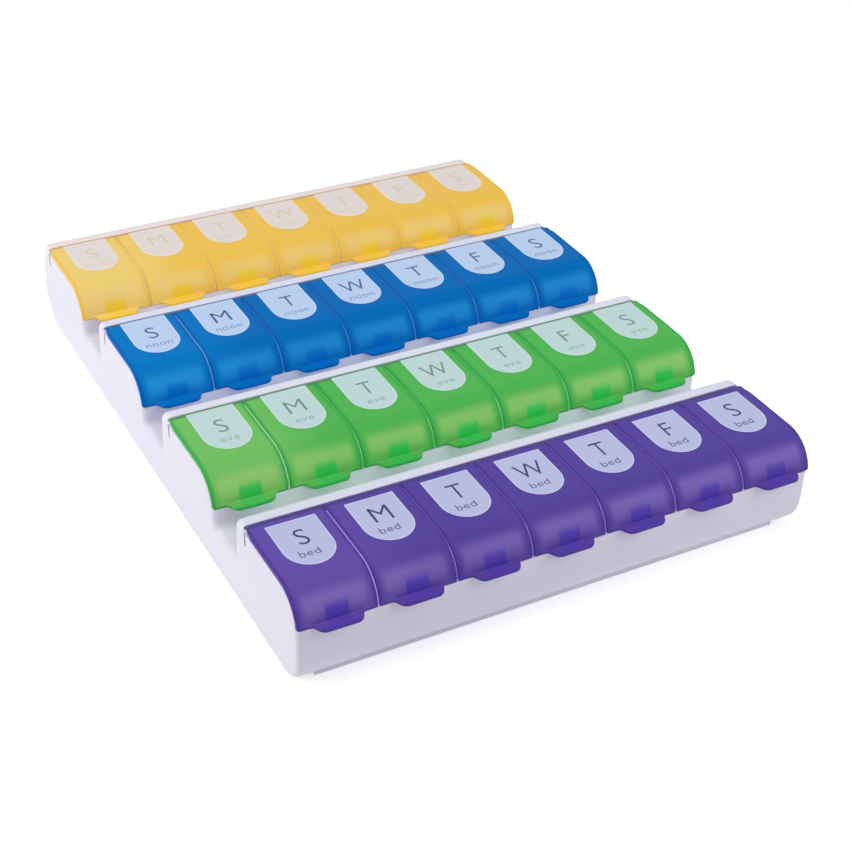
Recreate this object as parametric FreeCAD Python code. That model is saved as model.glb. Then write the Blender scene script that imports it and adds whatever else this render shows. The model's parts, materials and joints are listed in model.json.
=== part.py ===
import FreeCAD, Part
import math
import os

# Weekly pill organizer: four level rows of seven flip-lid compartments in one white casing.
# Millimetres. X runs along a row, Y from front to back, Z up from the table. The origin is the
# centre of the footprint. Each row is drawn with its front face at y = 0 and then moved back.

ROWS = ("bed", "eve", "noon", "morn")
DAYS = ("sun", "mon", "tue", "wed", "thu", "fri", "sat")

# ---- Driving dimensions ------------------------------------------------------------------

lid_pitch = 28.0             # one compartment to the next, along a row
row_pitch = 68.3             # front face to front face
lid_top = 36.4               # top of the closed lids
front_wall_top = 24.9        # where a row's front wall ends under its lids
nose_radius = 13.0           # outside bend at the front of a lid
lid_thickness = 1.2
lid_gap = 0.9                # between the plates of two lids
lid_rest = 0.1               # between a closed lid and what it closes on

hinge_setback = 40.6         # hinge pin behind the row's front face
barrel_radius = 1.9
barrel_gap = 0.2             # between the barrels of two lids
hinge_strip = 1.0            # how far a barrel's full width reaches in front of the pin
pin_radius = 0.75
pin_clearance = 0.05
pin_recess = 0.4             # pin's end inside the casing's side face
pin_slot_width = 1.2
pin_slot_depth = 4.8         # slot below the pin, by which it snaps in

casing_wall = 1.6
side_wall = 2.4
ear_width = 0.7              # side wall left outside the lids' barrels, which holds the pin
pin_pocket_radius = 2.4
foot_land = 0.2              # flat left under a side wall by its rounded edge
front_radius = 12.0          # bend at the casing's front bottom
rear_radius = 16.0           # bend at its rear bottom
rear_bulge = 4.2             # rear face behind the last rail
rear_shoulder = 20.0         # height where the rear face stops leaning
rear_shoulder_radius = 12.0
rail_gap = 0.6               # dark line between the lids and the rail behind them
rail_step = 0.4              # rail below the lids' tops
rail_depth = 5.7
rail_radius = 3.0
rail_lip = 10.0              # height of the lip in front of the rail
back_lean = 1.5              # a row's back wall, foot behind top
valley_floor = 18.0          # floor between two rows
valley_radius = 2.0
front_lip = 4.0              # front wall below the valley's underside

strip_wall = 1.2             # walls and floor of a compartment strip
divider = 1.8                # wall between two compartments
strip_gap = 0.15             # between a strip and the casing
strip_back_radius = 8.0
barrel_room = 0.3            # around the barrels, in the dividers
ridge_width = 0.5            # ridge on each divider, which shows between two lids
ridge_step = 0.4             # ridge below the lids' tops

tab_reach = 3.6              # thumb tab in front of the row's front face
tab_base_width = 17.4
tab_tip_width = 11.0
tab_thickness = 1.1
tab_radius = 2.0
lid_corner_radius = 1.0      # lower front corners of a lid
latch_width = 8.1
latch_thickness = 2.2
latch_height_angle = 51.0    # bend covered by the latch, up from the nose's widest point
latch_hook = 1.8             # hook below the lid's foot
latch_clearance = 0.2        # hook behind the front wall
latch_room = 0.5             # around the hook, in the strip's front wall

base_thickness = 2.0
base_half_length = 89.8
base_gap = 0.2
plinth_setback = 5.3         # plinth behind the row's front face
plinth_wall = 1.1
plinth_opening = 5.0         # height of the casing's cut-out above the plinth

past = 1.0                   # how far a cutting tool runs past a face
full_turn = 360.0            # degrees
tolerance = 1e-6             # lengths below this are nothing

# ---- Worked out from the driving dimensions ------------------------------------------------

half_width = lid_pitch * len(DAYS) / 2
bay_half = half_width - side_wall
last_row = row_pitch * (len(ROWS) - 1)

lid_under = lid_top - lid_thickness
seat_top = lid_under - lid_rest
lid_foot = front_wall_top + lid_rest
hinge_z = lid_top - barrel_radius
pin_hole_radius = pin_radius + pin_clearance
rail_top = lid_top - rail_step
nose_z = lid_top - nose_radius
seat_radius = nose_radius - lid_thickness - lid_rest
ear_radius = rail_top - hinge_z
ear_start = half_width - ear_width
barrel_end = ear_start - barrel_gap / 2

rail_front = hinge_setback + barrel_radius + rail_gap
rail_back = rail_front + rail_depth
rear_face = last_row + rail_back + rear_bulge
front_y = (tab_reach - rear_face) / 2
side_edge_radius = side_wall - foot_land

strip_front = casing_wall + strip_gap
strip_back = rail_front - strip_gap
strip_half = bay_half - strip_gap
strip_radius = front_radius - casing_wall
strip_bend_y = strip_front + strip_radius
strip_bend_z = base_thickness + strip_radius


# ---- Drawing helpers -----------------------------------------------------------------------

def at(y, z):
    """A point of a cross-section, which is drawn in the YZ plane."""
    return FreeCAD.Vector(0, y, z)


def bend(centre, radius, start, end):
    """Arc about a centre, from one angle to another in degrees, counted from +Y towards +Z."""
    def spot(angle):
        turn = math.radians(angle)
        return centre + at(radius * math.cos(turn), radius * math.sin(turn))
    return Part.Arc(spot(start), spot((start + end) / 2), spot(end))


def rounded(before, corner, after, radius):
    """Arc that rounds the corner between two straight runs."""
    back = (before - corner).normalize()
    on = (after - corner).normalize()
    half_angle = back.getAngle(on) / 2
    reach = radius / math.tan(half_angle)
    centre = corner + (back + on).normalize() * (radius / math.sin(half_angle))
    middle = centre + (corner - centre).normalize() * radius
    return Part.Arc(corner + back * reach, middle, corner + on * reach)


def section(*steps):
    """Face through points and arcs in the order given, with straight runs between them."""
    edges = []
    ends = []
    for step in steps:
        if isinstance(step, FreeCAD.Vector):
            ends.append((step, step))
        else:
            ends.append((step.StartPoint, step.EndPoint))
            edges.append(step.toShape())
    for (_, here), (there, _) in zip(ends, ends[1:] + ends[:1]):
        if not here.isEqual(there, tolerance):
            edges.append(Part.LineSegment(here, there).toShape())
    return Part.Face(Part.Wire(Part.__sortEdges__(edges)))


def along_x(face, left, right):
    """Extrudes a cross-section from one x to another."""
    moved = face.translated(FreeCAD.Vector(left, 0, 0))
    return moved.extrude(FreeCAD.Vector(right - left, 0, 0))


def block(x, y, z):
    """Box from three (low, high) pairs."""
    corner = FreeCAD.Vector(x[0], y[0], z[0])
    return Part.makeBox(x[1] - x[0], y[1] - y[0], z[1] - z[0], corner)


def round_bar(radius, left, right, y=hinge_setback, z=hinge_z):
    """Cylinder along X, on the hinge line unless told otherwise."""
    start = FreeCAD.Vector(left, y, z)
    return Part.makeCylinder(radius, right - left, start, FreeCAD.Vector(1, 0, 0))


def mirrored_pair(solid):
    """A solid and its mirror image across the plane x = 0."""
    return [solid, solid.mirror(FreeCAD.Vector(0, 0, 0), FreeCAD.Vector(1, 0, 0))]


def in_row(solid, row):
    """Moves a solid drawn at y = 0 to its row."""
    return solid.translated(FreeCAD.Vector(0, front_y + row * row_pitch, 0))


def front_angle(radius, rise):
    """Angle of the front point of a circle that lies this far above its centre."""
    return 180.0 - math.degrees(math.asin(rise / radius))


def nose_angle(radius, height):
    """Angle at which a circle about the nose's centre passes a height, on its front side."""
    return front_angle(radius, height - nose_z)


nose_centre = at(nose_radius, nose_z)
hinge_line = at(hinge_setback, hinge_z)


# ---- Casing --------------------------------------------------------------------------------

def casing_steps():
    """Outline of the casing without the crests under the lids, from the front bottom."""
    steps = [bend(at(front_radius, front_radius), front_radius, 270, 180)]
    for row in range(len(ROWS)):
        y = row * row_pitch
        rail_start = at(y + rail_front, rail_top)
        rail_end = at(y + rail_back, rail_top)
        steps += [
            at(y, front_wall_top),
            at(y + rail_front, front_wall_top),
            rail_start,
        ]
        if y < last_row:
            foot = at(y + rail_back + back_lean, valley_floor)
            next_foot = at(y + row_pitch, valley_floor)
            next_seat = at(y + row_pitch, front_wall_top)
            steps += [
                rounded(rail_start, rail_end, foot, rail_radius),
                rounded(rail_end, foot, next_foot, valley_radius),
                rounded(foot, next_foot, next_seat, valley_radius),
            ]
        else:
            shoulder = at(rear_face, rear_shoulder)
            heel = at(rear_face, 0)
            steps += [
                rounded(rail_start, rail_end, shoulder, rail_radius),
                rounded(rail_end, shoulder, heel, rear_shoulder_radius),
                rounded(shoulder, heel, at(0, 0), rear_radius),
            ]
    return steps


def side_edges(solid):
    """Edges of both side faces, but not those that the lids' crests stand on."""
    found = []
    for edge in solid.Edges:
        box = edge.BoundBox
        on_side = box.XLength < tolerance and abs(abs(box.XMin) - half_width) < tolerance
        under_lid = box.ZLength < tolerance and abs(box.ZMin - front_wall_top) < tolerance
        beside_lid = box.YLength < tolerance and abs(box.ZMin - front_wall_top) < tolerance
        if on_side and not under_lid and not beside_lid:
            found.append(edge)
    return found


def crest(row):
    """Upper side wall that follows the underside of a row's end lid, with the hinge ear."""
    y = row * row_pitch
    ear = round_bar(ear_radius, ear_start, half_width, y + hinge_setback)
    seat_end = nose_angle(seat_radius, front_wall_top)
    face = section(
        bend(nose_centre + at(y, 0), seat_radius, seat_end, 90),
        at(y + rail_front, seat_top),
        at(y + rail_front, front_wall_top),
    )
    return along_x(face, bay_half - past, half_width).fuse(ear)


def bay(row):
    """Space for a compartment strip, open above and below."""
    y = row * row_pitch
    rear = y + rail_front
    rear_low = min(rear, rear_face - rear_radius)
    steps = [at(y + casing_wall, -past)]
    if row == 0:
        bend_centre = at(front_radius, front_radius)
        steps = [
            at(front_radius, -past),
            bend(bend_centre, front_radius - casing_wall, 270, 180),
        ]
    steps += [
        at(y + casing_wall, lid_top + past),
        at(rear, lid_top + past),
        at(rear, valley_floor),
        at(rear_low, valley_floor),
        at(rear_low, -past),
    ]
    return along_x(section(*steps), -bay_half, bay_half)


def hollow(row):
    """Space under a rail and the valley behind it, or inside the rear wall."""
    y = row * row_pitch
    under_rail = rail_top - casing_wall
    start = min(y + rail_front - strip_gap, rear_face - rear_radius)
    steps = [
        at(start, valley_floor),
        at(y + rail_front - strip_gap, valley_floor),
        at(y + rail_front - strip_gap, rail_top - rail_lip),
        at(y + rail_front + casing_wall, rail_top - rail_lip),
        at(y + rail_front + casing_wall, under_rail),
        at(y + rail_back - casing_wall, under_rail),
    ]
    if row < len(ROWS) - 1:
        under_valley = valley_floor - casing_wall
        steps += [
            at(y + rail_back + back_lean - casing_wall, under_valley),
            at(y + row_pitch, under_valley),
            at(y + row_pitch, under_valley - front_lip),
            at(y + row_pitch + casing_wall + strip_gap, under_valley - front_lip),
            at(y + row_pitch + casing_wall + strip_gap, -past),
            at(start, -past),
        ]
    else:
        bend_centre = at(rear_face - rear_radius, rear_radius)
        steps += [
            at(rear_face - casing_wall, rear_shoulder),
            bend(bend_centre, rear_radius - casing_wall, 0, -90),
        ]
    return along_x(section(*steps), -bay_half, bay_half)


def pin_seat(row):
    """Pocket for the end lid's barrel, and the hole and snap slot of the pin, on the right."""
    y = row * row_pitch + hinge_setback
    pocket = round_bar(pin_pocket_radius, bay_half - past, ear_start, y)
    hole = round_bar(pin_hole_radius, bay_half, half_width + past, y)
    slot = block(
        (bay_half, half_width + past),
        (y - pin_slot_width / 2, y + pin_slot_width / 2),
        (hinge_z - pin_slot_depth, hinge_z),
    )
    return [pocket, hole, slot]


def casing():
    """White body: rounded shell with side crests, bays, hollow rails and pin seats."""
    body = along_x(section(*casing_steps()), -half_width, half_width)
    body = body.makeFillet(side_edge_radius, side_edges(body))
    rows = range(len(ROWS))
    body = body.fuse([part for row in rows for part in mirrored_pair(crest(row))])
    tools = [bay(row) for row in rows]
    tools += [hollow(row) for row in rows]
    tools += [piece for row in rows for tool in pin_seat(row) for piece in mirrored_pair(tool)]
    tools.append(block(
        (-base_half_length - base_gap, base_half_length + base_gap),
        (-past, front_radius + past),
        (-past, plinth_opening),
    ))
    body = body.cut(tools).removeSplitter()
    return body.translated(FreeCAD.Vector(0, front_y, 0))


# ---- Compartment strip ---------------------------------------------------------------------

def strip_blank():
    """Cross-section of a strip's dividers, with the floor and both walls."""
    front_low = at(strip_front, base_thickness)
    back_low = at(strip_back, base_thickness)
    room = barrel_radius + barrel_room
    seat_end = 180.0 - math.degrees(math.acos((nose_radius - strip_front) / seat_radius))
    return section(
        bend(nose_centre, seat_radius, seat_end, 90),
        bend(hinge_line, room, front_angle(room, seat_top - hinge_z), 270),
        at(strip_back, hinge_z - room),
        rounded(at(strip_back, lid_top), back_low, front_low, strip_back_radius),
        rounded(back_low, front_low, at(strip_front, lid_top), strip_radius),
    )


def ridge_section():
    """Cross-section of the ridge on a divider, which runs along under the lids' surface."""
    low_radius = seat_radius - strip_wall
    high_radius = nose_radius - ridge_step
    return section(
        bend(nose_centre, high_radius, nose_angle(high_radius, lid_foot), 90),
        at(hinge_setback, lid_top - ridge_step),
        at(hinge_setback, seat_top - strip_wall),
        bend(nose_centre, low_radius, 90, nose_angle(low_radius, lid_foot)),
    )


def ridges():
    """Ridges on the dividers between the compartments, cut short of the hinge barrels."""
    face = ridge_section()
    room = round_bar(barrel_radius + barrel_room, -half_width, half_width)
    parts = []
    for day in range(1, len(DAYS)):
        middle = day * lid_pitch - half_width
        ridge = along_x(face, middle - ridge_width / 2, middle + ridge_width / 2)
        parts.append(ridge.cut(room))
    return parts


def pocket_section():
    """Cross-section of one compartment, open above and over the front wall."""
    front = strip_front + strip_wall
    back = strip_back - strip_wall
    floor = base_thickness + strip_wall
    front_low = at(front, floor)
    back_low = at(back, floor)
    return section(
        rounded(back_low, front_low, at(front, lid_top), strip_radius - strip_wall),
        at(front, front_wall_top),
        at(0, front_wall_top),
        at(0, lid_top + past),
        at(back, lid_top + past),
        rounded(at(back, lid_top), back_low, front_low, strip_back_radius - strip_wall),
    )


def pocket_span(day):
    """Left and right walls of a day's compartment."""
    left = -half_width + day * lid_pitch + divider / 2
    right = left + lid_pitch - divider
    limit = strip_half - strip_wall
    return max(left, -limit), min(right, limit)


def day_centre(day):
    """Middle of a day's lid along the row."""
    return -half_width + (day + 0.5) * lid_pitch


def compartment_strip():
    """Tray of seven compartments with a notch for each lid's latch."""
    strip = along_x(strip_blank(), -strip_half, strip_half)
    tools = []
    for day in range(len(DAYS)):
        left, right = pocket_span(day)
        tools.append(along_x(pocket_section(), left, right))
        half = latch_width / 2 + latch_room
        tools.append(block(
            (day_centre(day) - half, day_centre(day) + half),
            (strip_front - past, strip_front + strip_wall + past),
            (lid_foot - latch_hook - latch_room, lid_top),
        ))
    return strip.cut(tools).fuse(ridges()).removeSplitter()


# ---- Base plate and hinge pin --------------------------------------------------------------

def base_plate():
    """Plate under the strips, with the plinth that shows below the front wall."""
    rear = rear_face - rear_radius - base_gap
    lip_back = plinth_setback + plinth_wall
    reach = strip_bend_y - lip_back - strip_gap
    lip_top = strip_bend_z - math.sqrt(strip_radius ** 2 - reach ** 2)
    face = section(
        at(plinth_setback, 0),
        at(plinth_setback, lip_top),
        at(lip_back, lip_top),
        at(lip_back, base_thickness),
        at(rear, base_thickness),
        at(rear, 0),
    )
    plate = along_x(face, -base_half_length, base_half_length)
    return plate.translated(FreeCAD.Vector(0, front_y, 0))


def hinge_pin():
    """Long pin through the barrels of a row's lids."""
    return round_bar(pin_radius, pin_recess - half_width, half_width - pin_recess)


# ---- Lids ----------------------------------------------------------------------------------

def lid_section():
    """Cross-section of a lid: bent plate that runs into the hinge barrel."""
    inner = nose_radius - lid_thickness
    under_end = front_angle(barrel_radius, lid_under - hinge_z) - full_turn
    return section(
        bend(nose_centre, nose_radius, nose_angle(nose_radius, lid_foot), 90),
        bend(hinge_line, barrel_radius, 90, under_end),
        bend(nose_centre, inner, 90, nose_angle(inner, lid_foot)),
    )


def thumb_tab():
    """Thin tab that a thumb pushes up, tapered and rounded."""
    root = lid_thickness / 2
    outline = Part.makePolygon([
        FreeCAD.Vector(-tab_base_width / 2, root, lid_foot),
        FreeCAD.Vector(-tab_tip_width / 2, -tab_reach, lid_foot),
        FreeCAD.Vector(tab_tip_width / 2, -tab_reach, lid_foot),
        FreeCAD.Vector(tab_base_width / 2, root, lid_foot),
        FreeCAD.Vector(-tab_base_width / 2, root, lid_foot),
    ])
    tab = Part.Face(outline).extrude(FreeCAD.Vector(0, 0, tab_thickness))
    corners = [
        edge for edge in tab.Edges
        if edge.BoundBox.ZLength > tab_thickness / 2 and edge.BoundBox.YMax < 0
    ]
    return tab.makeFillet(tab_radius, corners)


def latch():
    """Rib inside the nose whose hook drops behind the front wall."""
    outer = nose_radius - lid_thickness / 2
    inner = nose_radius - lid_thickness - latch_thickness
    top = 180.0 - latch_height_angle
    hook_low = lid_foot - latch_hook
    swing = (hinge_z - front_wall_top) / (hinge_setback - casing_wall)
    hook_front = casing_wall + latch_clearance
    hook_back = nose_radius - inner
    face = section(
        bend(nose_centre, outer, top, nose_angle(outer, lid_foot)),
        at(hook_front, lid_foot),
        at(hook_front + latch_hook * swing, hook_low),
        at(hook_back, hook_low),
        bend(nose_centre, inner, nose_angle(inner, lid_foot), top),
    )
    return along_x(face, -latch_width / 2, latch_width / 2)


def is_foot_corner(edge):
    """Whether an edge of a lid's plate is a corner at its foot, seen from the front."""
    box = edge.BoundBox
    return box.XLength < tolerance and box.ZLength < tolerance and box.ZMax < lid_foot + tolerance


def lid(day):
    """Flip lid of one compartment. The end lids also cover the casing's side walls."""
    centre = day_centre(day)
    plate_half = (lid_pitch - lid_gap) / 2
    barrel_half = (lid_pitch - barrel_gap) / 2
    sides = {-1: (plate_half, barrel_half), 1: (plate_half, barrel_half)}
    if day == 0:
        sides[-1] = (lid_pitch / 2, centre + barrel_end)
    if day == len(DAYS) - 1:
        sides[1] = (lid_pitch / 2, barrel_end - centre)
    left = centre - max(sides[-1])
    right = centre + max(sides[1])
    body = along_x(lid_section(), left, right)
    tools = [round_bar(pin_hole_radius, left - past, right + past)]
    for side, (plate, barrel) in sides.items():
        near = centre + side * min(plate, barrel)
        far = centre + side * (max(plate, barrel) + past)
        depth = (-past, hinge_setback - hinge_strip)
        if plate > barrel:
            depth = (hinge_setback - barrel_radius, rail_back)
        tools.append(block(sorted((near, far)), depth, (lid_foot - past, lid_top + past)))
    body = body.cut(tools)
    body = body.makeFillet(lid_corner_radius, [edge for edge in body.Edges if is_foot_corner(edge)])
    move = FreeCAD.Vector(centre, 0, 0)
    body = body.fuse([thumb_tab().translated(move), latch().translated(move)])
    return body.removeSplitter()


# ---- Output --------------------------------------------------------------------------------

def main():
    """Writes one STEP file for each separate piece."""
    os.makedirs("parts", exist_ok=True)
    nodes = {"casing": casing(), "base_plate": base_plate()}
    strip = compartment_strip()
    pin = hinge_pin()
    lids = [lid(day) for day in range(len(DAYS))]
    for row, row_name in enumerate(ROWS):
        nodes["compartment_strip_" + row_name] = in_row(strip, row)
        nodes["hinge_pin_" + row_name] = in_row(pin, row)
        for day_name, shape in zip(DAYS, lids):
            nodes["lid_" + row_name + "_" + day_name] = in_row(shape, row)
    for name, shape in nodes.items():
        print(name, len(shape.Solids), shape.isValid(), round(shape.Volume, 1))
        shape.exportStep("parts/" + name + ".step")


main()
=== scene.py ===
# %% [markdown]
# # A weekly pill organizer
# Four rows of seven little compartments, one for each part of each day. The white mouldings are
# glossy and faintly lavender, the lids are thin tinted plastic, and their labels are printed on.
# The frame brings the solids at their real size. This lesson gives them their finish, remodels the
# lids with soft rims and blended thumb tabs, and prints the labels.

# %% Load the frame
import json
import math

import bmesh
import bpy
from mathutils import Matrix, Vector


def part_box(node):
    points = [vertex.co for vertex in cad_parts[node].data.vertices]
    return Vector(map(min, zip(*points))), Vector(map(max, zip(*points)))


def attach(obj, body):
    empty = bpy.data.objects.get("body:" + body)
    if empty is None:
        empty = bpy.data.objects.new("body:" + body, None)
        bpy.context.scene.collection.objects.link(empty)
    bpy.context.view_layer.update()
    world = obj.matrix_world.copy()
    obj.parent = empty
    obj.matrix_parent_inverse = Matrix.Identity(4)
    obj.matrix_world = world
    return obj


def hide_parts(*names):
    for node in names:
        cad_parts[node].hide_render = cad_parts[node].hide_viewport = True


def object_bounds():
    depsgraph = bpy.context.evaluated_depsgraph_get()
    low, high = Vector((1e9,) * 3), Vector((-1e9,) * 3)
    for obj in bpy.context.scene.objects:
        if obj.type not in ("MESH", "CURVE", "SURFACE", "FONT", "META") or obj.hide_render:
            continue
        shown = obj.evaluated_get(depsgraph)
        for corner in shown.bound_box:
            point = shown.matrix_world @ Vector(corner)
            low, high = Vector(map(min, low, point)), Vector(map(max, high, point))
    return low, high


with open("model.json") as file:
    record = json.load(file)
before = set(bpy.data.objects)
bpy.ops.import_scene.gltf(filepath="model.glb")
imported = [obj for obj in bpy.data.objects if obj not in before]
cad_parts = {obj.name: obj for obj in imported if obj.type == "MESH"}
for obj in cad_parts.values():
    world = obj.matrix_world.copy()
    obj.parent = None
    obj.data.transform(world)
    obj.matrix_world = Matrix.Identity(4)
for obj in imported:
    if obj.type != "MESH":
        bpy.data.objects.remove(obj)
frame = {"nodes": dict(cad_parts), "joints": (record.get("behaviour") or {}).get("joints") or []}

cad_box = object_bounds()
MM = 0.001
ROWS = ("bed", "eve", "noon", "morn")
DAYS = ("sun", "mon", "tue", "wed", "thu", "fri", "sat")

# %% [markdown]
# ## The camera
# A camera is easiest to read as a spot to stand on, a compass direction, a tilt and a roll. The
# matrix is built from those four, so each can be changed by itself.

# %% Camera
CAMERA_SPOT = Vector((-0.2530, -0.4875, 0.3690))
CAMERA_HEADING = 28.69       # degrees to the right of straight back
CAMERA_TILT = 34.24          # degrees below the horizon
CAMERA_ROLL = 1.755          # degrees, anticlockwise
CAMERA_LENS = 71.74          # millimetres
CAMERA_SENSOR = 36           # millimetres across
CAMERA_NEAR = 0.01           # nothing closer is drawn


def make_camera():
    """Camera at the spot, looking down at the organizer."""
    data = bpy.data.cameras.new("camera")
    data.sensor_width = CAMERA_SENSOR
    data.lens = CAMERA_LENS
    data.clip_start = CAMERA_NEAR
    camera = bpy.data.objects.new("camera", data)
    turn = Matrix.Rotation(math.radians(-CAMERA_HEADING), 4, "Z")
    tilt = Matrix.Rotation(math.radians(90 - CAMERA_TILT), 4, "X")
    roll = Matrix.Rotation(math.radians(CAMERA_ROLL), 4, "Z")
    camera.matrix_world = Matrix.Translation(CAMERA_SPOT) @ turn @ tilt @ roll
    bpy.context.scene.collection.objects.link(camera)
    bpy.context.scene.camera = camera
    return camera


camera = make_camera()
print("camera looks along", camera.matrix_world.col[2].xyz * -1)

# %% [markdown]
# ## Sizes taken from the frame
# Every lid turns about its own joint, and the joints say where the rows and the columns are. The
# lids' own box gives their top and reach, so the remodelled lids can't drift from the solids.
# Pieces are modelled in millimetres, because mesh operators treat anything under a few thousandths
# of a unit as nothing. A finished piece is scaled to metres.

# %% Sizes in millimetres
def box_of(node):
    """Lowest and highest corners of a node at rest."""
    low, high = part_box(node)
    return Vector(low) / MM, Vector(high) / MM


hinges = {joint["child"]: Vector(joint["pos_m"]) / MM for joint in frame["joints"]}
hinge_y = {row: hinges["lid_%s_mon" % row].y for row in ROWS}
lid_low, lid_high = box_of("lid_bed_mon")
casing_low, casing_high = box_of("casing")
pitch = hinges["lid_bed_tue"].x - hinges["lid_bed_mon"].x
front_wall = casing_low.y
hinge_setback = hinge_y["bed"] - front_wall
hinge_z = hinges["lid_bed_mon"].z
lid_top = lid_high.z
barrel_radius = lid_top - hinge_z
tab_reach = front_wall - lid_low.y

LID_FOOT = 25.0
NOSE_RADIUS = 13.0
LID_THICKNESS = 1.2
TAB_THICKNESS = 1.1
RIB_HALF = 4.05              # half width of the latch rib
LID_GAP = 0.7                # between the plates of two lids
BARREL_GAP = 0.2             # between their barrels
HINGE_STRIP = 1.5            # the barrel's full width starts so far in front of the pin
EAR_WIDTH = 0.8              # casing's wall and clearance outside the last barrel
HOLE_RADIUS = 0.8
RAIL_GAP = 0.6               # from the barrels back to the rail behind them
WELD = 0.001                 # closer than this is the same place
print("pitch", round(pitch, 2), "mm, lids", round(lid_top - LID_FOOT, 2), "mm high")

# %% [markdown]
# ## Shader arithmetic
# A material is a graph, and most of its nodes are plain arithmetic. Wrapping a socket in a small
# class lets that arithmetic be written as Python, so a mask reads like the formula it is. Every
# other node comes from one method that takes its type, its settings and what feeds it.

# %% A socket that does arithmetic
class Wire:
    """Output of a node. Arithmetic on it adds Math nodes to its material."""

    def __init__(self, finish, socket):
        self.finish = finish
        self.socket = socket

    def math(self, operation, *values):
        return self.finish.add("Math", {"operation": operation}, dict(enumerate(values)))

    def __add__(self, other):
        return self.math("ADD", self, other)

    def __radd__(self, other):
        return self.math("ADD", other, self)

    def __sub__(self, other):
        return self.math("SUBTRACT", self, other)

    def __rsub__(self, other):
        return self.math("SUBTRACT", other, self)

    def __mul__(self, other):
        return self.math("MULTIPLY", self, other)

    def __abs__(self):
        return self.math("ABSOLUTE", self)

    def below(self, limit, softness):
        """1 where the value is below a limit, 0 above it, with a soft edge between."""
        settings = {"interpolation_type": "SMOOTHSTEP"}
        ends = {1: limit - softness / 2, 2: limit + softness / 2, 3: 1.0, 4: 0.0}
        return self.finish.add("MapRange", settings, {0: self, **ends})

    def above(self, limit, softness):
        """0 where the value is below a limit, 1 above it, with a soft edge between."""
        return 1.0 - self.below(limit, softness)

    def around(self, middle, half, softness):
        """1 where the value is within half a width of a middle, 0 elsewhere, with soft edges."""
        return abs(self - middle).below(half, softness)


# %% A material and its nodes
class Finish:
    """A material with its Principled shader. Values that don't vary sit on the shader itself."""

    def __init__(self, name, **plain):
        self.material = bpy.data.materials.new(name)
        self.material.use_nodes = True
        self.nodes = self.material.node_tree.nodes
        self.links = self.material.node_tree.links
        self.shader = self.nodes["Principled BSDF"]
        for title, value in plain.items():
            self.shader.inputs[title.replace("_", " ")].default_value = value

    def add(self, kind, settings=None, feeds=None, output=0):
        """Adds a node, sets it up, feeds its sockets and returns one of its outputs."""
        node = self.nodes.new("ShaderNode" + kind)
        for name, value in (settings or {}).items():
            setattr(node, name, value)
        for key, value in (feeds or {}).items():
            self.feed(node.inputs[key], value)
        return Wire(self, node.outputs[output])

    def feed(self, socket, value):
        """Links a wire to a socket, or sets the socket's own value."""
        if isinstance(value, Wire):
            self.links.new(value.socket, socket)
        else:
            socket.default_value = value

    def noise(self, scale, detail, roughness=0.5, where=None):
        """Noise between 0 and 1. Its scale is in repeats per metre of the object."""
        where = where or self.add("TexCoord", output="Object")
        feeds = {"Vector": where, "Scale": scale, "Detail": detail, "Roughness": roughness}
        return self.add("TexNoise", None, feeds)

    def split(self, vector):
        """The three parts of a vector."""
        node = self.add("SeparateXYZ", None, {0: vector}).socket.node
        return [Wire(self, output) for output in node.outputs]

    def place_in_mm(self):
        """Where a point is on the organizer, in millimetres."""
        return [part * (1 / MM) for part in self.split(self.add("TexCoord", output="Object"))]

    def blend(self, factor, first, second):
        """Colour that runs from the first to the second as the factor goes from 0 to 1."""
        return self.add("Mix", {"data_type": "RGBA"}, {0: factor, 6: first, 7: second}, 2)

    def bump(self, height, distance, strength):
        """Surface relief of a height between 0 and 1 times a distance in metres."""
        feeds = {"Height": height, "Distance": distance, "Strength": strength}
        return self.add("Bump", None, feeds)

    def set(self, **varying):
        """Feeds the shader's sockets with values that change over the surface."""
        for title, value in varying.items():
            self.feed(self.shader.inputs[title.replace("_", " ")], value)
        return self.material


def srgb(red, green, blue):
    """Shader colour of a screen colour given in parts of 255, by the curve of the sRGB standard."""
    def linear(part):
        share = part / 255
        return share / 12.92 if share <= 0.04045 else ((share + 0.055) / 1.055) ** 2.4

    return (linear(red), linear(green), linear(blue), 1.0)


def shades(table):
    """Shader colours of a table that lists screen colours for each row."""
    return {row: [srgb(*colour) for colour in table[row]] for row in ROWS}


# %% [markdown]
# ## The white mouldings
# Casing, strips and base are polystyrene out of a polished mould. Such a surface isn't perfectly
# even: broad waves of slightly warmer and cooler white, a fine matt grain that breaks up the
# highlights, and patches that handling has rubbed a little duller. The colours that the lids throw
# on the white beside them are painted on: the ridges, the rails' tops and the troughs carry painted
# lid-coloured light, and the rails' faces carry a painted reflection and shade.

# %% Where the white plastic carries painted light from the lids
# Each edge is a place in millimetres and how softly the painted light ends there. Rail, face and
# trough are counted back from the barrels: a middle, a half width and a softness.
RAIL_BAND = (1.5, 3.0, 1.5)
FACE_BAND = (RAIL_GAP, 0.35, 0.3)
TROUGH_BAND = (16.0, 9.6, 1.0)
RAIL_FOOT = (lid_top - 2.0, 2.0)
FACE_TOP = (lid_top - 0.85, 0.4)
TROUGH_TOP = (lid_top - 2.4, 2.0)
FACE_END = (casing_high.x - 1.0, 0.6)
TROUGH_END = (casing_high.x - 14.0, 16.0)
# Shares of the painted lid light in the colour: on the rail's top, its face and the trough
RAIL_PAINTED_SHARE = 0.85            # of the cast in the colour
FACE_PAINTED_SHARE = 0.95
TROUGH_PAINTED_SHARE = 0.8
# Where the painted lid-coloured light lies on the ridges; it is brighter towards the left end
RIDGE_SIDE = (0.75, 0.2)     # from a ridge's middle
RIDGE_FOOT = (LID_FOOT + 0.6, 0.6)
RIDGE_NOSE = (34.6, 2.4)
RIDGE_LEFT = (-55.0, 12.0)
SCUFFING = 0.10


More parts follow.
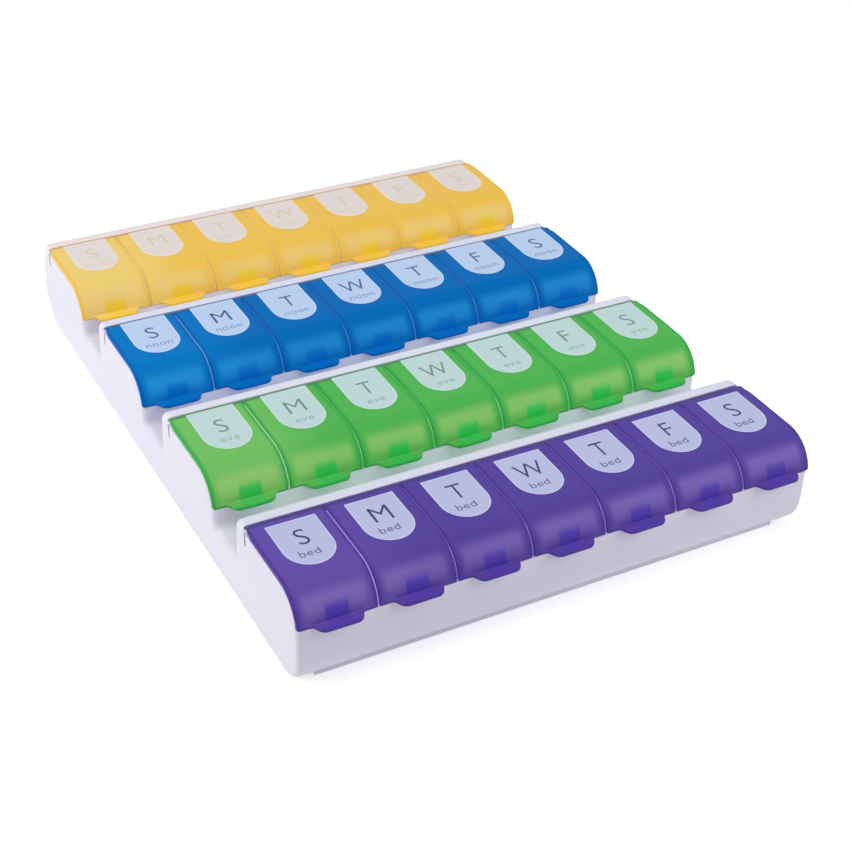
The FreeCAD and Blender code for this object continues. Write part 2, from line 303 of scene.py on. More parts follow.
# %% White plastic
def white_plastic(name, light, shade, roughness, painted_glow=None, rails=None):
    """Moulded white, cloudy over centimetres and grained over tenths of a millimetre.

    Painted light that neighbouring lids throw on the ridges comes as three colours: at the left, on
    the noses and on the flats. The rails argument holds each row's painted lid light: a painted
    bounce on the rail's top, a painted reflection and shade on its face beside the lids, and a
    painted bounce on the trough behind it.
    """
    finish = Finish(name, IOR=1.5, Specular_IOR_Level=0.3)
    clouds = finish.noise(38, detail=3)
    grain = finish.noise(2600, detail=2, roughness=0.6)
    scuffs = finish.noise(210, detail=4, roughness=0.7)
    colour = finish.blend(clouds, light, shade)
    across, along, height = finish.place_in_mm()
    for row, (top, face, trough) in (rails or {}).items():
        behind = along - (hinge_y[row] + barrel_radius)
        painted_trough_bounce = behind.around(*TROUGH_BAND) * height.below(*TROUGH_TOP)
        painted_trough_bounce = painted_trough_bounce * abs(across).below(*TROUGH_END)
        painted_rail_bounce = behind.around(*RAIL_BAND) * height.above(*RAIL_FOOT)
        painted_face_reflection_shade = behind.around(*FACE_BAND) * height.below(*FACE_TOP)
        painted_face_reflection_shade = painted_face_reflection_shade * abs(across).below(*FACE_END)
        # Painted bounce on the trough and the rail's top, painted reflection and shade on its face
        colour = finish.blend(painted_trough_bounce * TROUGH_PAINTED_SHARE, colour, trough)
        colour = finish.blend(painted_rail_bounce * RAIL_PAINTED_SHARE, colour, top)
        colour = finish.blend(painted_face_reflection_shade * FACE_PAINTED_SHARE, colour, face)
    # Painted lid-coloured light on the ridges, brighter at the left
    if painted_glow:
        left, nose, flat = painted_glow
        column = across.math("PINGPONG", across, pitch / 2)
        painted_ridge_mask = (pitch / 2 - column).below(*RIDGE_SIDE) * height.above(*RIDGE_FOOT)
        ridge_painted_light = finish.blend(height.below(*RIDGE_NOSE), flat, nose)
        ridge_painted_light = finish.blend(across.below(*RIDGE_LEFT), ridge_painted_light, left)
        colour = finish.blend(painted_ridge_mask, colour, ridge_painted_light)
    return finish.set(
        Base_Color=colour,
        Roughness=roughness + (scuffs - 0.5) * SCUFFING,
        Normal=finish.bump(grain + clouds * 2.0, distance=0.000015, strength=0.6),
    )


# %% Colours of the white plastic
# Painted lid-coloured light on the ridges
RIDGE_PAINTED_GLOW = shades({           # at the left, on the noses, on the flats
    "bed": ((178, 158, 234), (142, 120, 214), (98, 78, 178)),
    "eve": ((176, 240, 170), (136, 226, 132), (84, 198, 92)),
    "noon": ((96, 172, 234), (56, 150, 222), (16, 112, 196)),
    "morn": ((255, 234, 166), (255, 230, 156), (255, 220, 126)),
})
# Painted lid light: painted bounce on the rail's top and trough, painted reflection and shade on
# its face
RAIL_PAINTED_LIGHT = shades({            # on the top, on the face beside the lids, on the trough behind
    "bed": ((230, 234, 246), (160, 132, 250), (230, 255, 243)),
    "eve": ((236, 242, 252), (170, 250, 196), (226, 238, 255)),
    "noon": ((234, 240, 255), (150, 190, 255), (255, 248, 244)),
    "morn": ((255, 242, 230), (255, 236, 186), (244, 240, 240)),
})
casing_white = white_plastic(
    "casing_white", srgb(233, 231, 241), srgb(227, 224, 236), roughness=0.36, rails=RAIL_PAINTED_LIGHT)
base_white = white_plastic(
    "base_white", srgb(240, 237, 250), srgb(232, 229, 244), roughness=0.48)
strip_white = {
    row: white_plastic(
        "strip_white_" + row, srgb(236, 235, 244), srgb(229, 227, 238), roughness=0.42,
        painted_glow=RIDGE_PAINTED_GLOW[row])
    for row in ROWS
}

# %% [markdown]
# ## Drawn wire
# The hinge pins are cut from drawn wire, so their fine scratches run lengthwise. Stretching the
# noise along X by a large factor gives that grain.

# %% Steel wire
WIRE_STRETCH = 50            # of the scratches along X


def drawn_wire():
    """Steel with scratches along X."""
    finish = Finish("drawn_wire", Metallic=1.0)
    where = finish.add("Mapping", None, {
        "Vector": finish.add("TexCoord", output="Object"),
        "Scale": (1 / WIRE_STRETCH, 1.0, 1.0),
    })
    scratches = finish.noise(9000, detail=3, roughness=0.6, where=where)
    return finish.set(
        Base_Color=finish.blend(scratches, srgb(178, 180, 186), srgb(214, 215, 220)),
        Roughness=0.22 + scratches * 0.2,
        Normal=finish.bump(scratches, distance=0.000004, strength=0.5),
    )


wire_steel = drawn_wire()

# %% [markdown]
# ## Tinted lids
# The lids are thin polypropylene with dye in it. Where more of it lies one behind the other the
# colour deepens: over the latch rib behind the nose, and along the side rims. Light and shade are
# painted on too: painted light from the left lamp at the row's left end, a painted highlight
# along the noses, painted shade on the thumb tabs and a painted shade line at the seam. Each lid
# carries an attribute called spot, which says where on the lid a point is, counted from the lid's
# middle, the row's front wall and the table. With it one material paints those places on every
# lid of a row.

# %% Where a lid's tint changes
# Each edge is a place in millimetres and how softly the tint ends there.
# Painted highlight along the nose
NOSE_TOP = (33.9, 3.0)
NOSE_BACK = (NOSE_RADIUS, 1.0)
NOSE_LOW = (28.6, 4.5)       # below it the glow is weaker
NOSE_SIDE = (11.0, 3.0)
RIB_SIDE = (RIB_HALF, 1.3)
RIB_TOP = (30.5, 3.2)
RIM_SIDE = (12.7, 1.4)
RIM_FOOT = (LID_FOOT + 0.7, 0.5)
TAB_TOP = (LID_FOOT + TAB_THICKNESS, 0.5)
# Painted shade on the thumb tab, darker along its tip edge
TAB_RIM = (0.5 - tab_reach, 0.5)
TAB_ROOT = (-0.3, 0.8)
# Painted shade line on the barrel, at the seam in front of the rail
PAINTED_SEAM_FRONT = (hinge_setback - 0.1, 0.6)
# Painted light from the left lamp, soaking into the lids at the row's left end
PAINTED_LEFT_LIGHT_END = (-62.0, 30.0)
PAINTED_LEFT_LIGHT_SHARE = 0.9             # the rest of the body's change is clouds
# How much weaker the painted nose highlight is low on the nose and towards the right
PAINTED_HIGHLIGHT_LOW_LOSS = 0.7
PAINTED_HIGHLIGHT_RIGHT = 0.75            # of the glow at the left
TINT_SHARE = 0.85            # of the rims and the rib
# Shares of the painted shade on the tab's tip edge and on the whole tab
TAB_TIP_SHADE_SHARE = 0.4
TAB_SHADE_SHARE = 0.5
# Share of the painted shade at the seam
PAINTED_SEAM_SHARE = 0.9
LID_ROUGHNESS = 0.33


# %% Tinted plastic
def tinted_plastic(name, gloss, body, deep, rim, painted_left_colour, painted_glow, painted_seam_shade):
    """Dyed translucent plastic, deeper over the latch rib and along the rims.

    It also has painted light at the row's left end, a painted highlight on the nose and painted
    shade on the thumb tab and at the seam.
    """
    finish = Finish(name, IOR=1.49, Specular_IOR_Level=gloss)
    spot = finish.add("Attribute", {"attribute_name": "spot"}, output="Vector")
    across, forward, height = finish.split(spot)
    along = finish.place_in_mm()[0]
    clouds = finish.noise(75, detail=2)
    grain = finish.noise(1900, detail=2, roughness=0.55)
    flow = finish.noise(330, detail=3, roughness=0.6)
    in_front = forward.below(*NOSE_BACK)
    # Painted highlight along the nose, stronger at the left
    painted_nose_highlight = height.below(*NOSE_TOP) * in_front * abs(across).below(*NOSE_SIDE)
    painted_nose_highlight = painted_nose_highlight * (1.0 - height.below(*NOSE_LOW) * PAINTED_HIGHLIGHT_LOW_LOSS)
    on_rib = abs(across).below(*RIB_SIDE) * height.below(*RIB_TOP)
    on_rib = on_rib * in_front * height.above(*TAB_TOP)
    on_rim = 1.0 - abs(across).below(*RIM_SIDE) * height.above(*RIM_FOOT)
    # Painted shade on the thumb tab and its tip edge
    painted_tab_shade = forward.below(*TAB_RIM) * TAB_TIP_SHADE_SHARE + forward.below(*TAB_ROOT) * TAB_SHADE_SHARE
    # Painted light from the left lamp at the row's left end; it also strengthens the painted
    # highlight
    painted_left_light = along.below(*PAINTED_LEFT_LIGHT_END)
    colour = finish.blend(painted_left_light * PAINTED_LEFT_LIGHT_SHARE + clouds * (1 - PAINTED_LEFT_LIGHT_SHARE), body, painted_left_colour)
    colour = finish.blend(painted_nose_highlight * (painted_left_light * (1 - PAINTED_HIGHLIGHT_RIGHT) + PAINTED_HIGHLIGHT_RIGHT), colour, painted_glow)
    colour = finish.blend(on_rim * TINT_SHARE, colour, rim)
    colour = finish.blend(painted_tab_shade, colour, rim)
    # Painted shade line at the seam
    colour = finish.blend(forward.above(*PAINTED_SEAM_FRONT) * PAINTED_SEAM_SHARE, colour, painted_seam_shade)
    colour = finish.blend(on_rib * TINT_SHARE, colour, deep)
    return finish.set(
        Base_Color=colour,
        Roughness=LID_ROUGHNESS + flow * 0.10,
        Normal=finish.bump(grain * 0.5 + flow, distance=0.00002, strength=0.5),
    )


# %% Colours of the lids
# Painted light at the left, a painted highlight on the nose and painted shade at the seam are in it
LID_COLOURS = shades({          # body, over the rib, rim, at the left, on the nose, at the seam
    "bed": ((86, 67, 160), (80, 62, 182), (82, 54, 156), (102, 80, 173), (132, 108, 192),
            (70, 54, 118)),
    "eve": ((80, 189, 82), (26, 206, 88), (48, 176, 76), (120, 203, 101), (156, 216, 114),
            (72, 128, 86)),
    "noon": ((0, 114, 192), (0, 118, 208), (0, 104, 190), (0, 128, 206), (34, 154, 224),
             (50, 86, 138)),
    "morn": ((255, 207, 82), (255, 218, 42), (255, 208, 82), (255, 222, 124), (255, 221, 132),
             (238, 184, 104)),
})
LID_GLOSS = {"bed": 0.13, "eve": 0.12, "noon": 0.04, "morn": 0.14}
lid_plastic = {
    row: tinted_plastic("lid_" + row, LID_GLOSS[row], *LID_COLOURS[row]) for row in ROWS
}
print("materials:", len(bpy.data.materials))

# %% [markdown]
# ## From a bmesh to a piece
# A finished mesh becomes an object at the origin with its place in its vertices. Faces are shaded
# smooth, and edges sharper than a given angle are marked, so flats stay flat. A Weighted Normal
# modifier then lets the big faces decide the shading where they run into a small round.

# %% Finish a piece
SHARP = math.radians(32)


def open_edges(shape):
    """How many edges of a shape don't join two faces."""
    return sum(not edge.is_manifold for edge in shape.edges)


def make_piece(name, shape, finishes, body):
    """Object from a bmesh in millimetres that rides on a body."""
    bmesh.ops.scale(shape, verts=shape.verts, vec=(MM, MM, MM))
    for face in shape.faces:
        face.smooth = True
    for edge in shape.edges:
        edge.smooth = edge.is_manifold and edge.calc_face_angle(0.0) < SHARP
    mesh = bpy.data.meshes.new(name)
    shape.to_mesh(mesh)
    shape.free()
    for finish in finishes:
        mesh.materials.append(finish)
    piece = bpy.data.objects.new(name, mesh)
    bpy.context.scene.collection.objects.link(piece)
    weighted = piece.modifiers.new("weighted", "WEIGHTED_NORMAL")
    weighted.keep_sharp = True
    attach(piece, body)
    return piece


# %% [markdown]
# ## Casing, strips and base
# These have the right shape already, but a solid's mesh is loose triangles with knife edges. A copy
# is welded, its flat triangles are dissolved into whole faces, and its outside edges are given the
# small round that every mould has. That round is what catches the light along the rails, so the
# rails' front edges get a broader one. The thin ridges between the lids are lifted by 0.3 mm or
# more and made a little wider, so that they show as a fine line between two lids.

# %% Soften a solid
FLAT = math.radians(0.4)
CORNER = math.radians(50)
RIDGE_HALF = 0.25
RIDGE_RADIUS = NOSE_RADIUS - 0.4
RIDGE_SLACK = 0.02           # by which a ridge's points may be off its surface
RIDGE_LIFT = {"bed": 0.3, "eve": 0.3, "noon": 0.3, "morn": 0.42}
RIDGE_SPREAD = 0.07          # to each side
RIDGES_END = 2.6 * pitch     # past the last ridge, before the strip's end walls
RAIL_STEP = 0.4              # below the lids' tops
RAIL_ROUND = 0.9
CASING_ROUND = 0.25
BASE_ROUND = 0.2
STRIP_ROUND = 0.1


def near(first, second):
    """Whether two coordinates are the same place."""
    return abs(first - second) < WELD


def lift_ridges(shape, row):
    """Lifts a strip's ridges, which follow the lids' surface, and widens their tops."""
    for vertex in shape.verts:
        spot = vertex.co
        off_line = abs((spot.x + pitch / 2) % pitch - pitch / 2) - pitch / 2
        if abs(off_line) > RIDGE_HALF + WELD or abs(spot.x) > RIDGES_END:
            continue
        back = spot.y - (hinge_y[row] - hinge_setback) - NOSE_RADIUS
        rise = spot.z - (lid_top - NOSE_RADIUS)
        if back < 0 and abs(math.hypot(back, rise) - RIDGE_RADIUS) < RIDGE_SLACK:
            spot.y += back / RIDGE_RADIUS * RIDGE_LIFT[row]
            spot.z += rise / RIDGE_RADIUS * RIDGE_LIFT[row]
            spot.x += math.copysign(RIDGE_SPREAD, off_line)
        elif back >= 0 and abs(rise - RIDGE_RADIUS) < RIDGE_SLACK:
            spot.z += RIDGE_LIFT[row]
            spot.x += math.copysign(RIDGE_SPREAD, off_line)


def soften(shape, edges, offset, segments, clamp=False):
    """Rounds edges. Clamped rounds stay narrower than the faces beside them."""
    bmesh.ops.bevel(
        shape, geom=edges, offset=offset, offset_type="OFFSET", segments=segments, profile=0.5,
        affect="EDGES", clamp_overlap=clamp, material=-1,
    )


def rail_edges(shape):
    """Front edges of the casing's rails."""
    fronts = [hinge_y[row] + barrel_radius + RAIL_GAP for row in ROWS]
    return [
        edge for edge in shape.edges
        if edge.is_convex and all(
            near(vertex.co.z, lid_top - RAIL_STEP) and any(near(vertex.co.y, y) for y in fronts)
            for vertex in edge.verts)
    ]


def softened(node, name, finish, rounding, ridges_of=None):
    """Welded copy of a solid with rounded edges, standing in for it."""
    shape = bmesh.new()
    shape.from_mesh(frame["nodes"][node].data)
    bmesh.ops.scale(shape, verts=shape.verts, vec=(1 / MM, 1 / MM, 1 / MM))
    bmesh.ops.remove_doubles(shape, verts=shape.verts, dist=WELD)
    if ridges_of:
        lift_ridges(shape, ridges_of)
    bmesh.ops.dissolve_limit(
        shape, angle_limit=FLAT, verts=shape.verts, edges=shape.edges,
        use_dissolve_boundaries=False,
    )
    if node == "casing":
        fronts = rail_edges(shape)
        print("rail edges:", len(fronts), "for", len(ROWS), "rails")
        soften(shape, fronts, RAIL_ROUND, segments=4, clamp=True)
    corners = [
        edge for edge in shape.edges
        if edge.is_manifold and edge.is_convex and edge.calc_face_angle(0.0) > CORNER
    ]
    soften(shape, corners, rounding, segments=2, clamp=True)
    print(name, "open edges", open_edges(shape))
    bmesh.ops.triangulate(shape, faces=[face for face in shape.faces if len(face.verts) > 4])
    piece = make_piece(name, shape, [finish], "housing")
    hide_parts(node)


softened("casing", "casing_moulding", casing_white, CASING_ROUND)
softened("base_plate", "base_moulding", base_white, BASE_ROUND)
for row in ROWS:
    softened(
        "compartment_strip_" + row, "strip_moulding_" + row, strip_white[row],
        STRIP_ROUND, ridges_of=row)
    pin = frame["nodes"]["hinge_pin_" + row]
    pin.data.materials.clear()
    pin.data.materials.append(wire_steel)
print("white mouldings:", 2 + len(ROWS))

# %% [markdown]
# ## The lids
# A lid is one bent plate: a lip at the front, a round nose, a flat top and a hinge barrel at the
# back. Extruding its outline sideways gives the whole body, so the outline is drawn first. Vertices
# are spun into arcs and extruded into straight runs, in the plane where X is zero. Until a lid is
# finished, X counts from its middle and Y from the row's front wall.

# %% Draw an outline
def run_to(shape, start, y, z):
    """Straight edge from a vertex. Returns its far end."""
    end = bmesh.ops.extrude_vert_indiv(shape, verts=[start])["verts"][0]
    end.co = (0.0, y, z)
    return end


def turn_by(shape, start, centre, degrees, steps):
    """Arc from a vertex about a line along X. Returns its far end."""
    spun = bmesh.ops.spin(
        shape, geom=[start], cent=(0.0, *centre), axis=(1, 0, 0),
        angle=math.radians(degrees), steps=steps,
    )
    return next(item for item in spun["geom_last"] if isinstance(item, bmesh.types.BMVert))


def nose_angle(radius, height):
    """Angle on the nose where an arc of this radius passes a height, up from its widest point."""
    return math.degrees(math.asin((height - nose_z) / radius))


nose_z = lid_top - NOSE_RADIUS
nose_centre = (NOSE_RADIUS, nose_z)
hinge_centre = (hinge_setback, hinge_z)
inner_radius = NOSE_RADIUS - LID_THICKNESS
under_z = lid_top - LID_THICKNESS

# %% [markdown]
# The arcs are split where something else starts: the thumb tab takes the lowest millimetre of the
# nose, and the latch rib ends half way up its inside. A split placed now saves a cut later.

# %% Outline of a lid
RIB_ANGLE = 51.0             # degrees up the nose
NOSE_STEPS = 10              # for each half of the nose
BARREL_STEPS = 12


def draw_outline(shape):
    """Edges round a lid's cross-section. Returns the vertices at the barrel's top and bottom."""
    foot_angle = nose_angle(NOSE_RADIUS, LID_FOOT)
    tab_angle = nose_angle(NOSE_RADIUS, LID_FOOT + TAB_THICKNESS)
    inner_foot = nose_angle(inner_radius, LID_FOOT)
    under_angle = math.degrees(math.asin((under_z - hinge_z) / barrel_radius))
    reach = NOSE_RADIUS * math.cos(math.radians(foot_angle))
    foot = shape.verts.new((0.0, NOSE_RADIUS - reach, LID_FOOT))
    point = turn_by(shape, foot, nose_centre, foot_angle - tab_angle, 1)
    point = turn_by(shape, point, nose_centre, tab_angle - RIB_ANGLE, NOSE_STEPS)
    point = turn_by(shape, point, nose_centre, RIB_ANGLE - 90, NOSE_STEPS)
    barrel_top = run_to(shape, point, hinge_setback, lid_top)
    barrel_low = turn_by(shape, barrel_top, hinge_centre, -180, BARREL_STEPS)
    point = turn_by(shape, barrel_low, hinge_centre, -90 - under_angle, BARREL_STEPS // 2)
    point = run_to(shape, point, NOSE_RADIUS, under_z)
    point = turn_by(shape, point, nose_centre, 90 - RIB_ANGLE, NOSE_STEPS)
    point = turn_by(shape, point, nose_centre, RIB_ANGLE - inner_foot, NOSE_STEPS)
    shape.edges.new((point, foot))
    return barrel_top, barrel_low


# %% [markdown]
# Small helpers do most of the work from here on. One picks faces or edges whose corners all pass a
# test, one cuts faces along a plane, and one extrudes them.

# %% Pick, cut and extrude
def pick(items, test):
    """Faces or edges whose corners all pass a test."""
    return [item for item in items if all(test(vertex.co) for vertex in item.verts)]


def rims_of(faces):
    """All edges of some faces, each of them once and always in the same order."""
    return list(dict.fromkeys(edge for face in faces for edge in face.edges))


def split(shape, faces, axis, place):
    """Cuts faces where one coordinate has a value."""
    corners = dict.fromkeys(vertex for face in faces for vertex in face.verts)
    point, normal = Vector(), Vector()
    point[axis] = place
    normal[axis] = 1.0
    bmesh.ops.bisect_plane(
        shape, geom=[*faces, *rims_of(faces), *corners], dist=WELD,
        plane_co=point, plane_no=normal,
    )


def grow(shape, faces, move=(0, 0, 0)):
    """Extrudes faces, moves the new ones and returns their vertices."""
    grown = bmesh.ops.extrude_face_region(shape, geom=[*faces, *rims_of(faces)])["geom"]
    corners = [item for item in grown if isinstance(item, bmesh.types.BMVert)]
    bmesh.ops.translate(shape, verts=corners, vec=move)
    return corners


# %% [markdown]
# The pin's hole is a circle inside the barrel. Two short edges join it to the outline, above and
# below, so the cross-section becomes two ordinary faces with no hole in either of them.

# %% Cross-section of a lid
HOLE_STEPS = 12


def draw_section(shape):
    """Faces of a lid's cross-section, with a round hole for the hinge pin."""
    barrel_top, barrel_low = draw_outline(shape)
    upright = Matrix.Translation((0.0, *hinge_centre)) @ Matrix.Rotation(math.radians(90), 4, "Y")
    hole = bmesh.ops.create_circle(
        shape, segments=HOLE_STEPS, radius=HOLE_RADIUS, matrix=upright,
    )["verts"]
    shape.edges.new((barrel_top, max(hole, key=lambda vertex: vertex.co.z)))
    shape.edges.new((barrel_low, min(hole, key=lambda vertex: vertex.co.z)))
    behind = pick(shape.edges, lambda spot: spot.y > hinge_setback - WELD)
    before = pick(shape.edges, lambda spot: spot.y < hinge_setback + WELD)
    bmesh.ops.contextual_create(shape, geom=behind)
    bmesh.ops.contextual_create(shape, geom=before)


# %% [markdown]
# Plate and barrel differ in width. Barrels almost touch, while the plates leave room for the ridge
# between them. On the end lids it is the other way round on the outer side: the plate covers the
# casing's side wall, and the barrel stops short inside the wall that holds the pin.

# %% Body of a lid
def lid_body(end):
    """Plate and barrel of a lid. End is -1 or 1 for the row's first or last lid, else 0."""
    shape = bmesh.new()
    draw_section(shape)
    plate = (pitch - LID_GAP) / 2
    barrel = (pitch - BARREL_GAP) / 2
    outer = pitch / 2 - EAR_WIDTH
    width = {side: outer if side == end else plate for side in (-1, 1)}
    bmesh.ops.translate(shape, verts=shape.verts, vec=(-width[-1], 0, 0))
    grow(shape, shape.faces[:], (width[-1] + width[1], 0, 0))
    for side in (-1, 1):
        place = side * width[side]
        cut = hinge_setback - (barrel_radius if side == end else HINGE_STRIP)
        split(shape, pick(shape.faces, lambda spot: near(spot.x, place)), 1, cut)
        if side == end:
            wider = pick(shape.faces, lambda spot: near(spot.x, place) and spot.y < cut + WELD)
            grow(shape, wider, (side * (pitch / 2 - outer), 0, 0))
        else:
            wider = pick(shape.faces, lambda spot: near(spot.x, place) and spot.y > cut - WELD)
            grow(shape, wider, (side * (barrel - plate), 0, 0))
    bmesh.ops.recalc_face_normals(shape, faces=shape.faces)
    return shape


# %% [markdown]
# Behind the nose sits a rib that stiffens it. Its end reaches down behind the casing's front wall
# as a small hook, which snaps the lid shut. It is the inside of the nose, extruded and shrunk
# towards the nose's centre.

# %% Latch rib
RIB_THICKNESS = 2.2
HOOK_DROP = 1.8
HOOK_FRONT = 1.8             # clear of the front wall
HOOK_SLANT = 0.45            # by which the hook clears that wall as the lid swings up
HOOK_BACK = 3.4


def nose_reach(spot):
    """Distance of a point from the nose's centre line."""
    return math.hypot(spot.y - NOSE_RADIUS, spot.z - nose_z)


def add_rib(shape):
    """Rib along the inside of the nose, with a hook at its foot."""
    top = nose_z + inner_radius * math.sin(math.radians(RIB_ANGLE))

    def inside(spot):
        return near(nose_reach(spot), inner_radius) and spot.z < top + WELD

    for side in (-1, 1):
        split(shape, pick(shape.faces, inside), 0, side * RIB_HALF)
    middle = pick(shape.faces, lambda spot: inside(spot) and abs(spot.x) < RIB_HALF + WELD)
    share = 1 - RIB_THICKNESS / inner_radius
    centre = Matrix.Translation((0, -NOSE_RADIUS, -nose_z))
    bmesh.ops.scale(shape, verts=grow(shape, middle), vec=(1, share, share), space=centre)

    def at_foot(spot):
        return spot.z < LID_FOOT + WELD and abs(spot.x) < RIB_HALF + WELD

    foot = [face for face in pick(shape.faces, at_foot) if face.calc_center_median().y > HOOK_FRONT]
    split(shape, foot, 1, HOOK_FRONT)
    foot = pick(shape.faces, lambda spot: at_foot(spot) and spot.y > HOOK_FRONT - WELD)
    for vertex in grow(shape, foot):
        vertex.co.y = HOOK_FRONT + HOOK_SLANT if near(vertex.co.y, HOOK_FRONT) else HOOK_BACK
        vertex.co.z = LID_FOOT - HOOK_DROP


# %% [markdown]
# The thumb tab grows forward out of the lowest millimetre of the nose. It narrows towards its tip,
# its tip corners are round, and it leaves the nose in hollow curves.

# %% Thumb tab
TAB_BASE = 8.9               # half widths
TAB_TIP = 6.9
TAB_CORNER = 1.8
TAB_BLEND = 0.8
TAB_EXTRA = 0.4              # further than the solid


def add_tab(shape):
    """Thumb tab with rounded corners, blended into the nose."""
    top = LID_FOOT + TAB_THICKNESS
    front = -tab_reach - TAB_EXTRA

    def low_front(spot):
        return near(nose_reach(spot), NOSE_RADIUS) and spot.z < top + WELD

    def at_root(spot):
        return low_front(spot) and abs(spot.x) < TAB_BASE + WELD

    for side in (-1, 1):
        split(shape, pick(shape.faces, low_front), 0, side * TAB_BASE)
    tip = grow(shape, pick(shape.faces, at_root))
    bmesh.ops.scale(shape, verts=tip, vec=(TAB_TIP / TAB_BASE, 1, 1))
    for vertex in tip:
        vertex.co.y = front
    corners = [
        edge for edge in pick(shape.edges, lambda spot: near(spot.y, front))
        if near(edge.verts[0].co.x, edge.verts[1].co.x)
    ]
    soften(shape, corners, TAB_CORNER, segments=5)
    hollows = [
        edge for edge in pick(shape.edges, at_root) if edge.is_manifold and not edge.is_convex
    ]
    soften(shape, hollows, TAB_BLEND, segments=5)


# %% [markdown]
# Last come the rounds of the mould: the two lower front corners, the outer back corner of an end
# lid, and a fine round along every rim. The fine round is what draws the bright line along an edge.

# %% Rims
FOOT_CORNER = 0.75
BACK_CORNER = 0.75           # across the side
BACK_STRETCH = 6.0           # so many times as long along it
RIM_ROUND = 0.24
RIM_ANGLE = math.radians(50)


def round_corners(shape, end):
    """Rounds the corners of a lid's plate."""
    half = (pitch - LID_GAP) / 2
    foot = pick(shape.edges, lambda spot: near(spot.z, LID_FOOT) and abs(spot.x) > half - WELD)
    soften(shape, foot, FOOT_CORNER, segments=4)
    if end:
        back = hinge_setback - barrel_radius
        rear = pick(shape.edges, lambda spot: near(spot.y, back) and near(spot.x, end * pitch / 2))
        soften(shape, rear, BACK_CORNER, segments=6)
        side = pitch / 2 - EAR_WIDTH + WELD
        front = back - 1.1 * BACK_CORNER
        for vertex in shape.verts:
            if vertex.co.x * end > side and vertex.co.y > front:
                vertex.co.y = back - (back - vertex.co.y) * BACK_STRETCH


def round_rims(shape):
    """Rounds the outside edges of a lid's plate and tab."""
    def outside(spot):
        return spot.y < hinge_setback - barrel_radius and nose_reach(spot) > inner_radius - WELD

    rims = [
        edge for edge in pick(shape.edges, outside)
        if edge.is_manifold and edge.is_convex and edge.calc_face_angle(0.0) > RIM_ANGLE
        and (edge.verts[0].co + edge.verts[1].co).z / 2 > LID_FOOT - WELD
    ]
    soften(shape, rims, RIM_ROUND, segments=3)


# %% [markdown]
# Seven lids in a row need only three shapes: a first, a middle and a last one. Each is copied to
# its place and remembers where its points are on the lid, for the material.

# %% Lids of all rows
def build_lid(end):
    """Finished shape of a first (-1), middle (0) or last (1) lid."""
    shape = lid_body(end)
    add_tab(shape)
    add_rib(shape)
    round_corners(shape, end)
    round_rims(shape)
    spot = shape.verts.layers.float_vector.new("spot")
    for vertex in shape.verts:
        vertex[spot] = vertex.co
    return shape


def place_lid(row, day, pattern):
    """Copy of a lid's shape in its place, standing in for the solid."""
    name = "lid_%s_%s" % (row, day)
    shape = pattern.copy()
    hinge = hinges[name]
    bmesh.ops.translate(shape, verts=shape.verts, vec=(hinge.x, hinge.y - hinge_setback, 0))
    piece = make_piece("flip_" + name, shape, [lid_plastic[row]], name)
    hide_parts(name)


patterns = {end: build_lid(end) for end in (-1, 0, 1)}
for row in ROWS:
    for day in DAYS:
        place_lid(row, day, patterns[(day == DAYS[-1]) - (day == DAYS[0])])
for end, pattern in patterns.items():
    print("lid shape", end, "faces", len(pattern.faces), "open edges", open_edges(pattern))
    pattern.free()

# %% [markdown]
# ## Labels
# Each lid has a label in the form of a U: a thin printed film with a paler border, the day's letter
# behind and the word for the part of the day in front of it. The film is a drawn outline, extruded
# until it stands a twentieth of a millimetre above the lid, with its top face inset for the border.
# Letters come from the built-in font. They are thinned, turned into a mesh, scaled to their real
# height and laid on the film.

# %% Letters
FILM_TOP = 0.05              # above the lid
FILM_SINK = 0.03             # into it
INK_RISE = 0.03              # above the film
INK_SINK = 0.02              # into it
LETTER_SPACE = 1.06          # of the font's own spacing
LETTER_DEPTH = 0.004         # of the font's size, like the one below
LETTER_WELD = 0.0004


def letters(text, thin=0.0):
    """Closed letters of the built-in font at size 1, as a bmesh."""
    curve = bpy.data.curves.new("text", "FONT")
    curve.body = text
    curve.offset = -thin
    curve.extrude = LETTER_DEPTH
    curve.resolution_u = 4
    curve.space_character = LETTER_SPACE
    writer = bpy.data.objects.new("text", curve)
    mesh = bpy.data.meshes.new_from_object(writer)
    shape = bmesh.new()
    shape.from_mesh(mesh)
    bpy.data.objects.remove(writer)
    bpy.data.meshes.remove(mesh)
    bpy.data.curves.remove(curve)
    return shape


def letter_height(text):
    """Height of a letter of the built-in font at size 1."""
    shape = letters(text)
    height = max(vertex.co.y for vertex in shape.verts)
    shape.free()
    return height


def text_shape(text, height, thin, narrow, finish_index):
    """Flat closed letters of a height in millimetres, centred on their width."""
    shape = letters(text, thin)
    bmesh.ops.remove_doubles(shape, verts=shape.verts, dist=LETTER_WELD)
    xs = [vertex.co.x for vertex in shape.verts]
    scale = height / (CAPITAL if text.isupper() else ASCENDER)
    middle_x = (min(xs) + max(xs)) / 2
    for vertex in shape.verts:
        top = vertex.co.z > 0
        vertex.co.x = (vertex.co.x - middle_x) * scale * narrow
        vertex.co.y = vertex.co.y * scale
        vertex.co.z = INK_RISE if top else -INK_SINK
    for face in shape.faces:
        face.material_index = finish_index
    bmesh.ops.recalc_face_normals(shape, faces=shape.faces)
    return shape


CAPITAL = letter_height("T")
ASCENDER = letter_height("d")
print("letter heights at size 1:", [round(part, 3) for part in (CAPITAL, ASCENDER)])

# %% [markdown]
# The film is printed: its ink lies unevenly, which a fine noise shows, and its border is a paler
# band round its edge.

